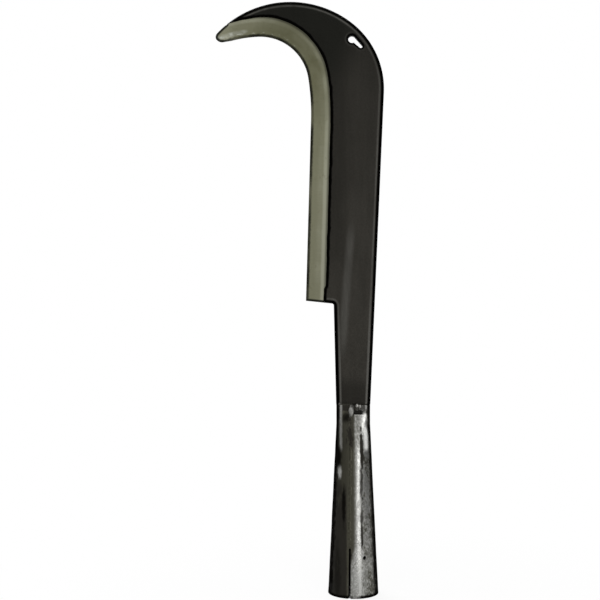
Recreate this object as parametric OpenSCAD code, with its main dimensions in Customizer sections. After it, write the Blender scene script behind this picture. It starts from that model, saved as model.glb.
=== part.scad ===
// Head of a hooked billhook: a forged blade with a steel edge let into it, on a rolled socket.
// The socket mouth is centred on the origin, the socket axis is +Z, the blade lies in the XZ plane
// and the hook points to -X. Lengths are in millimetres, angles in degrees.

/* [Socket] */
// Length of the socket, from its mouth to its crown
socket_len = 145; // [120:1:170]
// Outer radius at the mouth
mouth_r = 19.4; // [17:0.1:23]
// Outer radius at the crown, which is also half the width of the neck there
crown_r = 13.1; // [12:0.1:14.5]
// Thickness of the rolled sheet
socket_wall = 2.5; // [1.5:0.1:3]
// Length of the straight tube under the crown, where the cone ends
tube_len = 15; // [8:1:30]
// Length over which the front and back are pressed flat towards the crown
pinch_len = 34; // [26:1:45]
// Angle of the seam, from the front towards the left
seam_angle = 11.5; // [4:0.5:14]
// Width of the seam at the crown
seam_top = 0.7; // [0.4:0.1:1.2]
// Width of the seam at the mouth
seam_mouth = 1.8; // [1:0.1:3]
// Depth of the slot's lower edge under the crown, where the right leaf is parted from the collar
slot_drop = 7; // [6:0.5:10]
// Height of the slot
slot_h = 3.2; // [2:0.1:4]
// Distance of the slot's right end from the socket axis
slot_x = 9; // [6:0.1:10]
// Radius of the hole for the nail that holds a handle
nail_r = 1.4; // [1:0.1:2.5]
// Height of the nail hole above the mouth
nail_z = 30.2; // [15:0.1:40]
// Angle of the nail hole, from the front towards the right
nail_angle = 26.5; // [20:0.5:45]

/* [Neck and tang] */
// Length of the neck, from the crown to the heel corner
neck_len = 80; // [60:1:110]
// Distance of the neck's left edge from the socket axis, under the heel
neck_top = 15; // [13:0.5:18]
// Thickness of the neck at the crown
neck_t = 8; // [6.5:0.1:9]
// Height above the crown at which the neck's rib runs out
rib_len = 135; // [100:1:180]
// Distance of the rib's crease from the socket axis, at the crown
crease_x = 11.3; // [8:0.1:12]
// Lean of the crease
crease_lean = 8.4; // [5:0.2:12]
// Width of the flank from the crease down to the blade's face
flank_w = 10; // [6:0.5:16]
// Length of the tang inside the socket
tang_len = 30; // [20:1:45]
// Width of the tang's end
tang_end = 13; // [10:0.5:16]
// Clearance between the tang and the socket, on each side
tang_gap = 0.15; // [0.05:0.05:0.3]
// Radius of the fillet under the heel
heel_fillet = 2.5; // [1:0.1:5]

/* [Cutting edge] */
// Distance of the heel corner from the socket axis
heel_x = 36.5; // [32:0.5:42]
// Fall of the heel towards the neck
heel_fall = 6; // [0:0.1:8]
// Lean of the straight edge
edge_lean = 1.6; // [0.5:0.1:3]
// Length of the straight edge
edge_straight = 139; // [110:1:170]
// Radius of the run that eases the edge into the hook
ease_r = 182; // [140:1:240]
// Turn of that run
ease_turn = 10.5; // [7:0.5:14]
// Radius of the hook
hook_r = 37.6; // [34:0.2:42]
// Turn of the hook
hook_turn = 83.7; // [78:0.1:88]
// Radius of the beak's cutting edge
beak_r = 96; // [80:1:120]
// Width of the ground bevel
bevel_w = 15; // [10:0.5:18]
// Thickness left at the very edge
edge_land = 0.4; // [0.2:0.1:1]

/* [Back of the blade] */
// Thickness of the blade behind its bevel
blade_t = 5.6; // [4.5:0.1:6.2]
// Lean of the spine
spine_lean = 2.5; // [1.5:0.1:3.5]
// Drop of the crest's centre below the hook's centre
crest_drop = 2.8; // [0:0.1:6]
// Radius of the crest, where the spine turns over
crest_r = 64.2; // [60:0.2:70]
// Turn of the crest
crest_turn = 55.7; // [48:0.1:62]
// Radius of the brow, from the crest to the tip
brow_r = 77.7; // [72:0.1:84]
// Radius of the blunt tip
tip_r = 4.5; // [3.5:0.1:5.5]
// Width of the spine's flat between its two chamfers
spine_flat = 3.4; // [2:0.1:4.5]

/* [Steel let into the blade] */
// Depth of the tongue beyond the bevel
tongue_depth = 6; // [3:0.5:9]
// Thickness of the tongue
tongue_t = 1.6; // [1:0.1:2.6]
// Metal kept between the tongue and the back of the blade
tongue_cover = 3; // [2:0.5:5]
// Clearance all round the tongue
tongue_gap = 0.05; // [0.02:0.01:0.1]

/* [Hanging hole] */
// Radius of the round end
hang_r = 3; // [2.6:0.1:4]
// Radius of the narrow end
hang_slot_r = 1.95; // [1.2:0.05:2.3]
// Length of the narrow end, from beside the round end's centre
hang_len = 8.1; // [6:0.1:11]
// Distance of the round end's centre from the crest
hang_inset = 9.3; // [8.5:0.1:14]
// Place of the round end along the crest
hang_angle = 43.9; // [30:0.1:55]
// Slant of the narrow end outwards from the crest's run
hang_slant = 1; // [0:1:15]

/* [Welds] */
// Height of the fillets between the neck and the crown
fillet_leg = 2.4; // [1.5:0.1:3.5]
// Half the length of those fillets
fillet_half = 10.5; // [7:0.1:11]
// Width of the bead on the seam
bead_w = 3.4; // [2.5:0.1:5]
// Height of the bead above the socket
bead_h = 0.6; // [0.3:0.1:1]
// Height above the mouth at which the bead starts, so that the seam below it is open
bead_z = 38; // [20:1:70]
// Radius of the weld lumps beside the slot
lump_r = 2.6; // [2.2:0.1:3.2]
// Distance of the tack weld from the seam
lump_x = 5; // [4:0.1:8]

/* [Hidden] */
$fn = 96;

// Room that a cutter reaches past what it cuts
over = 1;
// Length by which a flatter run reaches into a rounder one, so that the two join in one solid
lap = 8;
// Depth by which a rounder run starts inside a flatter one
sink = 0.03;

// Heights and widths that the pieces share
crown_z = socket_len;
heel_z = crown_z + neck_len;
blade_w = heel_x + crown_r;
blade_reach = 2 * blade_w;

// A pose is [x, z, heading]. A run is [length, 0] when straight and [radius, turn] on a left-hand arc.
function arc_centre(pose, r) = [pose[0] - r * sin(pose[2]), pose[1] + r * cos(pose[2])];
function on_arc(c, r, heading) = [c[0] + r * sin(heading), c[1] - r * cos(heading), heading];
function after(pose, run) =
    run[1] == 0
    ? [pose[0] + run[0] * cos(pose[2]), pose[1] + run[0] * sin(pose[2]), pose[2]]
    : on_arc(arc_centre(pose, run[0]), run[0], pose[2] + run[1]);
function place(pose) = [pose[0], pose[1]];
function heading_at(c, p) = atan2(p[1] - c[1], p[0] - c[0]) + 90;

// Where circles of radius ra about a and rb about b cross, on the far side from the socket
function circles_cross(a, ra, b, rb) =
    let (gap = norm(b - a), u = (b - a) / gap, s = (ra * ra - rb * rb + gap * gap) / (2 * gap))
    a + s * u - sqrt(ra * ra - s * s) * [-u[1], u[0]];

// The cutting edge runs up from the heel corner, round the hook and along the beak
heel = [-heel_x, heel_z, 90 - edge_lean];
edge_end = after(heel, [edge_straight, 0]);
hook_start = after(edge_end, [ease_r, ease_turn]);
hook_c = arc_centre(hook_start, hook_r);
beak_start = after(hook_start, [hook_r, hook_turn]);
beak_c = arc_centre(beak_start, beak_r);

// The spine runs up from the crown, over the crest and along the brow
spine_foot = [crown_r, crown_z, 90 - spine_lean];
spine_len = (hook_c[1] - crest_drop - crest_r * sin(spine_lean) - crown_z) / cos(spine_lean);
spine_end = after(spine_foot, [spine_len, 0]);
crest_c = arc_centre(spine_end, crest_r);
brow_start = after(spine_end, [crest_r, crest_turn]);
brow_c = arc_centre(brow_start, brow_r);

// The tip is an arc that touches the brow from inside and the beak's edge from outside
tip_c = circles_cross(brow_c, brow_r - tip_r, beak_c, beak_r + tip_r);
tip_on_brow = brow_c + (tip_c - brow_c) * brow_r / (brow_r - tip_r);
tip_on_edge = beak_c + (tip_c - beak_c) * beak_r / (beak_r + tip_r);
beak_turn = heading_at(beak_c, tip_on_edge) - beak_start[2];
brow_turn = heading_at(brow_c, tip_on_brow) - brow_start[2];

function turn_of(length, r) = length / r * 180 / PI;

// The corner between the heel and the neck, and the directions in which the two leave it
neck_corner = [-neck_top, heel_z - (heel_x - neck_top) * tan(heel_fall)];
neck_foot = [-crown_r, crown_z];
to_heel = (place(heel) - neck_corner) / norm(place(heel) - neck_corner);
to_crown = (neck_foot - neck_corner) / norm(neck_foot - neck_corner);
corner_half = acos(to_heel * to_crown) / 2;

// The hanging hole's round end, and the way its narrow end points
hang_c = crest_c + (crest_r - hang_inset) * [cos(hang_angle), sin(hang_angle)];
hang_way = hang_angle - 90 + hang_slant;
// How far the narrow end lies towards the crest, so that the two ends nearly share their upper side
hang_off = 0.9 * (hang_r - hang_slot_r);

// Half the thickness of the ground edge at a distance from it
function bevel_half(d) = (edge_land + (blade_t - edge_land) * d / bevel_w) / 2;

// The socket's outer radius at a height, and half its depth between the pressed faces
knee_z = crown_z - tube_len;
function cone_r(z) = mouth_r + (crown_r - mouth_r) * min(z, knee_z) / knee_z;
crown_half = neck_t / 2 + socket_wall;
pinch_slope = (cone_r(crown_z - pinch_len) - crown_half) / pinch_len;
function pinch_half(z) = crown_half + pinch_slope * (crown_z - z);
wall_across = socket_wall * sqrt(1 + pinch_slope * pinch_slope);
tang_t = neck_t - 2 * tang_gap;
tang_half = sqrt(pow(crown_r - socket_wall - tang_gap, 2) - pow(tang_t / 2, 2));
function seam_w(z) = seam_mouth + (seam_top - seam_mouth) * z / crown_z;
seam_x = -crown_half * tan(seam_angle);
slot_z = crown_z - slot_drop;
// Height of the lump that ends the seam's bead
bead_end = slot_z + slot_h / 2;

// Stands a drawing in the XY plane upright, with its thickness along Y
module upright() {
    rotate([90, 0, 0]) children();
}

// Lays a drawing of [Y, Z] across the part, along X
module across(width) {
    rotate([90, 0, 90]) linear_extrude(width, center = true) children();
}

module slab(t) {
    linear_extrude(t, center = true) children();
}

// Draws a section of [distance to the right of the path, thickness] along a straight run
module straight_run(pose, length) {
    translate(place(pose)) rotate([0, 0, pose[2] - 90]) rotate([-90, 0, 0])
        linear_extrude(length) children();
}

// Draws the same section along an arc, whose path may lie deeper by some sinks
module arc_run(pose, r, from, to, sinks) {
    translate(arc_centre(pose, r)) rotate([0, 0, pose[2] - 90 + from])
        rotate_extrude(angle = to - from) translate([r + sinks * sink, 0]) children();
}

// Draws a section along the cutting edge, past the heel and past the tip
module along_edge() {
    straight_run(after(heel, [-lap, 0]), edge_straight + 2 * lap) children();
    arc_run(edge_end, ease_r, 0, ease_turn + turn_of(lap, ease_r), 1) children();
    arc_run(hook_start, hook_r, 0, hook_turn, 2) children();
    arc_run(beak_start, beak_r, -turn_of(lap, beak_r), beak_turn + turn_of(lap, beak_r), 1) children();
}

// Draws a section along the back, past the crown and past the tip
module along_back() {
    straight_run(after(spine_foot, [-over, 0]), over + spine_len + lap) children();
    arc_run(spine_end, crest_r, 0, crest_turn, 1) children();
    arc_run(brow_start, brow_r, -turn_of(lap, brow_r), brow_turn + turn_of(lap, brow_r), 0) children();
}

// All that lies to the left of someone who walks from p to q
module left_of(p, q, size) {
    translate(p) rotate(atan2(q[1] - p[1], q[0] - p[0])) translate([-size, 0]) square([2 * size, size]);
}

// A slice of a disc, between two headings of the path along its rim
module disc_slice(c, r, from, to) {
    intersection() {
        translate(c) circle(r);
        polygon(concat([c], [for (h = [from, (from + to) / 2, to]) place(on_arc(c, 2 * r, h))]));
    }
}

// The hollow in front of the cutting edge, grown by a distance into the blade
module hollow(grow) {
    n = grow * [sin(heel[2]), -cos(heel[2])];
    low = after(heel, [-2 * lap, 0]);
    ease_c = arc_centre(edge_end, ease_r);
    polygon([place(low) + n, place(edge_end) + n, ease_c, [ease_c[0], low[1]]]);
    disc_slice(ease_c, ease_r + grow + sink, heel[2] - turn_of(lap, ease_r), hook_start[2]);
    translate(hook_c) circle(hook_r + grow + 2 * sink);
    beak_end = beak_start[2] + beak_turn + turn_of(lap, beak_r);
    disc_slice(beak_c, beak_r + grow + sink, beak_start[2], beak_end);
}

// All that lies inside the spine, the crest and the brow
module back_region(inset = 0) {
    left = -heel_x - bevel_w;
    polygon([place(spine_foot), place(spine_end), crest_c, [left, crest_c[1]], [left, crown_z]]);
    translate(crest_c) circle(crest_r - inset);
    disc_slice(brow_c, brow_r - inset, brow_start[2], brow_start[2] + brow_turn + turn_of(lap, brow_r));
}

// All that lies below the line of the heel
module heel_cut() {
    left_of(neck_corner, place(heel), blade_reach);
}

// The outline above the heel, with its blunt tip
module blade_outline() {
    difference() {
        back_region();
        left_of(tip_on_edge, tip_on_brow, 4 * tip_r);
        heel_cut();
    }
    translate(tip_c) circle(tip_r);
}

// The neck's outline, with the fillet under the heel
module neck_outline() {
    run = heel_fillet / tan(corner_half);
    c = neck_corner + (to_heel + to_crown) / norm(to_heel + to_crown) * heel_fillet / sin(corner_half);
    polygon([neck_foot, place(spine_foot), place(spine_end), [neck_corner[0], spine_end[1]], neck_corner]);
    difference() {
        polygon([neck_corner, neck_corner + run * to_heel, c, neck_corner + run * to_crown]);
        translate(c) circle(heel_fillet);
    }
}

// The wedge of the ground edge, drawn a little past both of its sides
module bevel_section() {
    near = -edge_land;
    far = bevel_w + over;
    polygon([
        [near, -bevel_half(near)], [far, -bevel_half(far)], [far, bevel_half(far)], [near, bevel_half(near)]
    ]);
}

// The tongue of the steel, or the cleft that it lies in when there is a gap
module tongue(gap = 0) {
    slab(tongue_t + 2 * gap) difference() {
        intersection() {
            hollow(bevel_w + tongue_depth + gap);
            back_region(tongue_cover - gap);
        }
        hollow(bevel_w - over);
        if (gap == 0)
            heel_cut();
    }
}

// The cutters for the chamfers on both corners of the back
module back_chamfers() {
    for (side = [-1, 1])
        along_back() polygon([
            [over, side * (spine_flat / 2 - over)], [over, side * neck_t],
            [spine_flat / 2 - neck_t, side * neck_t]
        ]);
}

// The rib that thickens the neck: it falls away up the blade, and its flank falls towards the edge
module neck_rib() {
    intersection() {
        slab(2 * neck_t) neck_outline();
        across(4 * blade_w) polygon([
            [crown_z, -neck_t / 2], [crown_z, neck_t / 2], [crown_z + rib_len, blade_t / 2],
            [crown_z + rib_len, -blade_t / 2]
        ]);
        straight_run([-crease_x, crown_z, 90 - crease_lean], 2 * rib_len) polygon([
            [-flank_w, -blade_t / 2], [0, -neck_t / 2], [blade_reach, -neck_t / 2],
            [blade_reach, neck_t / 2], [0, neck_t / 2], [-flank_w, blade_t / 2]
        ]);
    }
}

// The socket as if it were solid, or its outside grown by a bead's height
module socket_form(grow = 0) {
    intersection() {
        rotate_extrude() polygon([
            [0, 0], [mouth_r + grow, 0], [crown_r + grow, knee_z], [crown_r + grow, crown_z], [0, crown_z]
        ]);
        across(4 * mouth_r) polygon([
            [-pinch_half(0) - grow, 0], [pinch_half(0) + grow, 0],
            [crown_half + grow, crown_z], [-crown_half - grow, crown_z]
        ]);
    }
}

// The hollow of the socket
module socket_hollow() {
    low = pinch_half(-over) - wall_across;
    high = pinch_half(crown_z + over) - wall_across;
    intersection() {
        rotate_extrude() polygon([
            [0, -over], [mouth_r - socket_wall, -over], [mouth_r - socket_wall, 0],
            [crown_r - socket_wall, knee_z], [crown_r - socket_wall, crown_z + over], [0, crown_z + over]
        ]);
        across(4 * mouth_r) polygon([
            [-low, -over], [low, -over], [high, crown_z + over], [-high, crown_z + over]
        ]);
    }
}

// A tapering wall through the front of the socket, along the seam
module seam_wall(extra, low, high) {
    rotate([0, 0, -seam_angle]) upright() linear_extrude(mouth_r + over) polygon([
        [-(seam_w(low) + extra) / 2, low], [(seam_w(low) + extra) / 2, low],
        [(seam_w(high) + extra) / 2, high], [-(seam_w(high) + extra) / 2, high]
    ]);
}

// A fillet on the crown's rim, in the corner that it makes with the front of the neck
module rim_fillet(from, to) {
    half = neck_t / 2;
    translate([(from + to) / 2, 0, 0]) across(to - from) polygon([
        [-half, crown_z], [-half, crown_z + fillet_leg], [-half - fillet_leg, crown_z]
    ]);
}

// A round lump of weld, before what it sits on is cut out of it
module lump(x, y, z) {
    translate([x, y, z]) sphere(lump_r);
}

module blade_body() {
    color("#3b3933") upright() difference() {
        union() {
            slab(blade_t) union() {
                difference() {
                    blade_outline();
                    hollow(bevel_w);
                }
                neck_outline();
            }
            neck_rib();
            slab(tang_t) polygon([
                [-tang_half, crown_z + over], [-tang_half, crown_z], [-tang_end / 2, crown_z - tang_len],
                [tang_end / 2, crown_z - tang_len], [tang_half, crown_z], [tang_half, crown_z + over]
            ]);
        }
        tongue(tongue_gap);
        back_chamfers();
        slab(2 * neck_t) translate(hang_c) union() {
            circle(hang_r);
            rotate(hang_way) translate([0, hang_off - hang_slot_r]) square([hang_len, 2 * hang_slot_r]);
            rotate(hang_way) translate([hang_len, hang_off]) circle(hang_slot_r);
        }
    }
}

module edge_steel() {
    color("#85846f") upright() difference() {
        union() {
            intersection() {
                slab(2 * blade_t) difference() {
                    intersection() {
                        blade_outline();
                        hollow(bevel_w);
                    }
                    hollow(0);
                }
                along_edge() bevel_section();
            }
            tongue();
        }
        back_chamfers();
    }
}

module socket() {
    color("#8c8c88") difference() {
        socket_form();
        socket_hollow();
        seam_wall(0, -over, crown_z + over);
        translate([seam_x, -2 * mouth_r, slot_z])
            cube([slot_x - seam_x, 2 * mouth_r - tang_t / 2, slot_h]);
        rotate([0, 0, nail_angle]) translate([0, 0, nail_z]) rotate([90, 0, 0])
            cylinder(h = 2 * mouth_r, r = nail_r);
    }
}

// The front weld fills the corner between the left leaf's rim and the neck
module front_weld() {
    color("#9c9b96") rim_fillet(-fillet_half, seam_x);
}

// The tack weld is a lump over the collar's rim, against the front of the neck
module tack_weld() {
    color("#9c9b96") difference() {
        lump(seam_x + lump_x, -neck_t / 2 - socket_wall / 2, crown_z - lump_r / 3);
        socket_form();
        translate([-2 * mouth_r, -neck_t / 2, 0]) cube([4 * mouth_r, 4 * mouth_r, 2 * crown_z]);
    }
}

module back_weld() {
    color("#9c9b96") mirror([0, 1, 0]) rim_fillet(-fillet_half, fillet_half);
}

// The seam weld fills the seam, stands proud of it and ends in a lump beside the slot
module seam_weld() {
    color("#9c9b96") union() {
        intersection() {
            seam_wall(0, bead_z, slot_z - sink);
            difference() {
                socket_form(bead_h);
                socket_hollow();
            }
        }
        difference() {
            union() {
                intersection() {
                    seam_wall(bead_w - seam_top, bead_z, bead_end);
                    socket_form(bead_h);
                }
                lump(seam_x, -pinch_half(bead_end), bead_end);
            }
            socket_form();
        }
    }
}

blade_body();
edge_steel();
socket();
front_weld();
tack_weld();
back_weld();
seam_weld();
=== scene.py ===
import math

import bpy
import numpy as np
from bpy.props import FloatProperty, FloatVectorProperty, IntProperty, PointerProperty
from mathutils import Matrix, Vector, noise
from mathutils.geometry import delaunay_2d_cdt


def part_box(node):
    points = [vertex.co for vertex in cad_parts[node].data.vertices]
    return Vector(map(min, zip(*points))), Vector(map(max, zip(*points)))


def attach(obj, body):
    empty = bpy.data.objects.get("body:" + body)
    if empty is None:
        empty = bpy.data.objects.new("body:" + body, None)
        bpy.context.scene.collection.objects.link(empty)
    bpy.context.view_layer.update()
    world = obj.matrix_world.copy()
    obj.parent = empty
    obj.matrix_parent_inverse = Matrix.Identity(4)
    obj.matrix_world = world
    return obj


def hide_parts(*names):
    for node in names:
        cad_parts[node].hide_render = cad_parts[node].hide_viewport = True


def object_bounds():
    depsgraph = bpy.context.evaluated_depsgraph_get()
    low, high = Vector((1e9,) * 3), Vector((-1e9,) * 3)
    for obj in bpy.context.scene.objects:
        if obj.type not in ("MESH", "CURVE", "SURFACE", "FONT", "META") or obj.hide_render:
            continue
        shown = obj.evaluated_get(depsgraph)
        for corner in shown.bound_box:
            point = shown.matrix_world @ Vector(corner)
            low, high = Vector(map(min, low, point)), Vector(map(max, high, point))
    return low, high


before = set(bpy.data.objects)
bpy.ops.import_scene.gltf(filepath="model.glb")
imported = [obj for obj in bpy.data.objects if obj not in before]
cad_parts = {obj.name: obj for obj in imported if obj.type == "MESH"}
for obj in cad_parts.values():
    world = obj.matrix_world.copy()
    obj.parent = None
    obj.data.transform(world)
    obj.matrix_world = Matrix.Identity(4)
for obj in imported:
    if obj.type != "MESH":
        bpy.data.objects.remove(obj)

bl_info = {
    "name": "Hooked Billhook Head",
    "version": (1, 0, 0),
    "blender": (4, 5, 0),
    "location": "View3D > Sidebar > Billhook",
    "description": "Builds a forged billhook head with a ground edge on a rolled socket, and its stage",
    "category": "Object",
}

MM = 0.001
CAD_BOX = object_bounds()
SOCKET_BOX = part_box("socket")

# Lesser colours of the finishes, and the tints of their shine
# The second colour here, the blade's darkest, is painted shade along its rims
SCALE_HOOK, RIM_SHADE = (0.0036, 0.0042, 0.0022), (0.0014, 0.0013, 0.0010)
# The shoulder colour here and the rim colour on the next line are painted shade on the ground edge
GROUND_SHOULDER_SHADE, GROUND_STAIN = (0.03, 0.03, 0.022), (0.10, 0.088, 0.045)
# The glint colour here paints highlights near the tip
GROUND_GLINT, GROUND_EDGE_SHADE = (0.62, 0.64, 0.56), (0.008, 0.009, 0.006)
# The first colour here is a painted highlight; the last is a dark colour that partly paints shade
SHEET_HIGHLIGHT, SHEET_BRIGHT, SHEET_DARK_AND_SHADE = (0.86, 0.86, 0.83), (0.66, 0.66, 0.63), (0.006, 0.0055, 0.0045)
SHEET_SHINE, WELD_SHINE = (0.3, 0.3, 0.3), (0.4, 0.4, 0.4)

# Spots on the socket: strength, place across and up the unrolled sheet, half width and half height, in mm
# A ragged dark line on the right of the seam
DARK_LINE = (
    (1, 6.3, 111.5, 2.1, 22), (0.8, 5.7, 86, 1.9, 19), (0.9, 6, 48, 1.6, 15), (0.8, 5.9, 61, 1.7, 14),
)
# Painted highlights on the left side and beside the top of the seam
HIGHLIGHT_SPOTS = ((0.5, -12.4, 94.4, 2.8, 6), (0.32, -3, 140.8, 3, 4.8))
# Dark spots on the left side
DARK_SPOTS = (
    (0.9, -13.2, 105.5, 3.7, 10.5), (0.9, -8.3, 69.5, 1.9, 18), (0.9, -8, 135.8, 3.3, 4.8),
    (0.495, -14.3, 16, 4.2, 30),
)

# Inputs of the tree that lays a weld, and how far the size of its drops differs
WELD_INPUTS = {
    "path": "Geometry", "spacing": "Float", "width": "Float", "height": "Float", "drop": "Float",
    "uneven": "Float", "outward": "Vector", "seed": "Int",
}
WELD_UNEVEN = 0.16
# How far the welds sway, and how far the lump at the top of the seam lies to the left
WELD_SWAY, LUMP_SHIFT = 0.3 * MM, 0.9 * MM

# Meshes of the plates: distance of their points, and distances of the rings of points inside their rims
LINE_STEP, BODY_STEP, EDGE_STEP = 1.0 * MM, 1.15 * MM, 1.0 * MM
BODY_RINGS = np.array((0.15, 0.35, 0.62, 0.95, 1.4, 1.95)) * MM
EDGE_RINGS = np.array((0.2, 0.5, 0.95)) * MM
# Worn corners of the hole and of the two sides of the shoulder, and how far faces flow into each other
HOLE_ROUND, LIP_ROUND, EDGE_ROUND = 0.5 * MM, 0.3 * MM, 0.25 * MM
RIB_BLEND, FACE_BLEND = 0.25 * MM, 0.2 * MM
# Where the tang starts under the crown, waves of grinding, and the least half thickness of the edge
TANG_SEAT, GRIND_WAVE, LEAST_HALF = 0.3 * MM, 0.05 * MM, 0.1 * MM
# Grid of the socket, with its rows below, beside and above the slot
SOCKET_COLUMNS, SOCKET_ROWS = 121, (145, 6, 7)
# Fray of the slot and the angle where it ends, lap of the seam and its width, and size of the dents
FRAY, FRAY_END = 0.4 * MM, math.radians(50)
SEAM_LAP, LAP_WIDTH, DENT_SIZE = 0.25 * MM, 2.5 * MM, 26 * MM

# Soft boxes: place, width and height in metres, and where they aim
SOFT_BOXES = {
    "key": ((0.51, -1.10, 0.34), 0.30, 1.1),
    "top": ((-0.15, -0.75, 1.25), 1.1, 0.7),
    "back": ((-0.25, 0.95, 1.20), 1.2, 0.7),
}
SOFT_BOX_AIM = (0, 0, 0.2)
# How far the floor lies under the mouth
FLOOR_DROP = 0.02 * MM


# Properties

def length(name, mm, what):
    """A length in metres, given in millimetres."""
    return FloatProperty(name=name, description=what, default=mm * MM, unit="LENGTH", precision=5)


def turn(name, degrees, what):
    """An angle in radians, given in degrees."""
    return FloatProperty(name=name, description=what, default=math.radians(degrees), unit="ROTATION")


def power(name, watts, what):
    """Power of a lamp in watts."""
    return FloatProperty(name=name, description=what, default=watts, unit="POWER")


def group(name, kind):
    """A group of settings, described by its docstring."""
    return PointerProperty(name=name, description=kind.__doc__, type=kind)


def colour(name, rgb, what):
    """A linear colour."""
    return FloatVectorProperty(name=name, description=what, default=rgb, subtype="COLOR", min=0, max=1)


class SocketSizes(bpy.types.PropertyGroup):
    """Sizes of the rolled socket"""

    socket_len: length("Length", SOCKET_BOX[1].z / MM, "From the mouth to the crown")
    mouth_r: length("Mouth radius", SOCKET_BOX[1].x / MM, "Outer radius at the mouth")
    crown_r: length("Crown radius", 13.1, "Outer radius at the crown")
    socket_wall: length("Wall", 2.5, "Thickness of the rolled sheet")
    tube_len: length("Tube", 15, "Straight tube under the crown")
    pinch_len: length("Pinch", 34, "Length over which the front and back are pressed flat")
    seam_angle: turn("Seam angle", 11.5, "From the front towards the left")
    seam_top: length("Seam at crown", 0.7, "Width of the seam at the crown")
    seam_mouth: length("Seam at mouth", 1.8, "Width of the seam at the mouth")
    slot_drop: length("Slot drop", 7, "Lower edge of the slot under the crown")
    slot_h: length("Slot height", 3.2, "Height of the slot between the right leaf and the collar")
    slot_x: length("Slot end", 9, "Right end of the slot from the socket axis")
    nail_r: length("Nail hole radius", 1.4, "Radius of the nail hole")
    nail_z: length("Nail hole height", 30.2, "Height of the nail hole above the mouth")
    nail_angle: turn("Nail hole angle", 26.5, "From the front towards the right")
    dent: length("Dents", 0.14, "Depth of the unevenness that rolling left in the sheet")
    rim_round: length("Rim rounding", 0.3, "Width of the worn corners of the sheet")


class BladeSizes(bpy.types.PropertyGroup):
    """Sizes of the blade, its neck and its ground edge"""

    neck_len: length("Neck length", 80, "From the crown to the heel corner")
    neck_top: length("Neck under the heel", 15, "Left edge of the neck from the socket axis")
    neck_t: length("Neck thickness", 8, "Thickness at the crown")
    rib_len: length("Rib length", 135, "Height above the crown at which the rib runs out")
    crease_x: length("Crease", 11.3, "Crease of the rib from the socket axis, at the crown")
    crease_lean: turn("Crease lean", 8.4, "Lean of the crease")
    flank_w: length("Flank", 10, "Width of the flank beside the crease")
    tang_len: length("Tang", 30, "Length of the tang inside the socket")
    tang_end: length("Tang end", 13, "Width of the tang's end")
    tang_gap: length("Tang clearance", 0.15, "Between the tang and the socket")
    heel_fillet: length("Heel fillet", 1.5, "Radius under the heel")
    heel_x: length("Heel", 36.5, "Heel corner from the socket axis")
    heel_fall: turn("Heel fall", 6, "Fall of the heel towards the neck")
    edge_lean: turn("Edge lean", 1.6, "Lean of the straight edge")
    edge_straight: length("Straight edge", 139, "Length of the straight edge")
    ease_r: length("Ease radius", 182, "Run that eases the edge into the hook")
    ease_turn: turn("Ease turn", 10.5, "Turn of that run")
    hook_r: length("Hook radius", 37.6, "Radius of the hook")
    hook_turn: turn("Hook turn", 83.7, "Turn of the hook")
    beak_r: length("Beak radius", 96, "Radius of the beak's cutting edge")
    bevel_w: length("Bevel", 15, "Width of the ground bevel")
    tip_narrow: length("Bevel at the tip", 2.8, "How much narrower the bevel is near the tip")
    edge_land: length("Edge land", 0.3, "Thickness left at the very edge")
    blade_t: length("Blade thickness", 5.6, "Thickness behind the bevel")
    spine_lean: turn("Spine lean", 2.5, "Lean of the spine")
    crest_drop: length("Crest drop", 2.8, "Crest's centre below the hook's centre")
    crest_r: length("Crest radius", 64.2, "Where the spine turns over")
    crest_turn: turn("Crest turn", 55.7, "Turn of the crest")
    brow_r: length("Brow radius", 77.7, "From the crest to the tip")
    tip_r: length("Tip radius", 4.5, "Radius of the blunt tip")
    tip_wear: length("Tip wear", 1.2, "How far the tip's underside is worn away")
    spine_flat: length("Spine flat", 3.4, "Flat of the spine between its chamfers")
    hang_r: length("Hole radius", 3, "Round end of the hanging hole")
    hang_slot_r: length("Narrow end radius", 1.95, "Narrow end of the hanging hole")
    hang_end_r: length("Far end radius", 1.5, "Far end of the narrow end")
    hang_len: length("Narrow end length", 8.5, "From beside the round end's centre")
    hang_inset: length("Hole inset", 9.3, "Round end's centre from the crest")
    hang_angle: turn("Hole place", 43.9, "Round end's place along the crest")
    hang_slant: turn("Hole slant", 1, "Slant of the narrow end outwards")
    side_round: length("Side rounding", 0.9, "Rounding of the neck's and the heel's corners")
    wander: length("Shoulder wander", 0.45, "How far the bevel's shoulder strays from its line")
    wave: length("Forging waves", 0.12, "Depth of the unevenness that forging left")


class WeldSizes(bpy.types.PropertyGroup):
    """Sizes of the welds"""

    fillet_half: length("Fillet half length", 10.5, "Half the length of the crown's fillets")
    fillet_leg: length("Fillet leg", 2.4, "Height of the crown's fillets")
    bead_w: length("Bead width", 3.0, "Width of the bead on the seam")
    bead_h: length("Bead height", 0.12, "Height of the bead above the socket")
    bead_z: length("Bead start", 38, "Height above the mouth at which the bead starts")
    lump_r: length("Lump radius", 2.4, "Radius of the lumps beside the slot")
    lump_x: length("Tack weld", 5, "Distance of the tack weld from the seam")
    voxel: length("Fusing size", 0.22, "Size at which the ripples flow together")
    seed: IntProperty(name="Seed", description="Seed of the ripples' unevenness", default=4)


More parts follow.
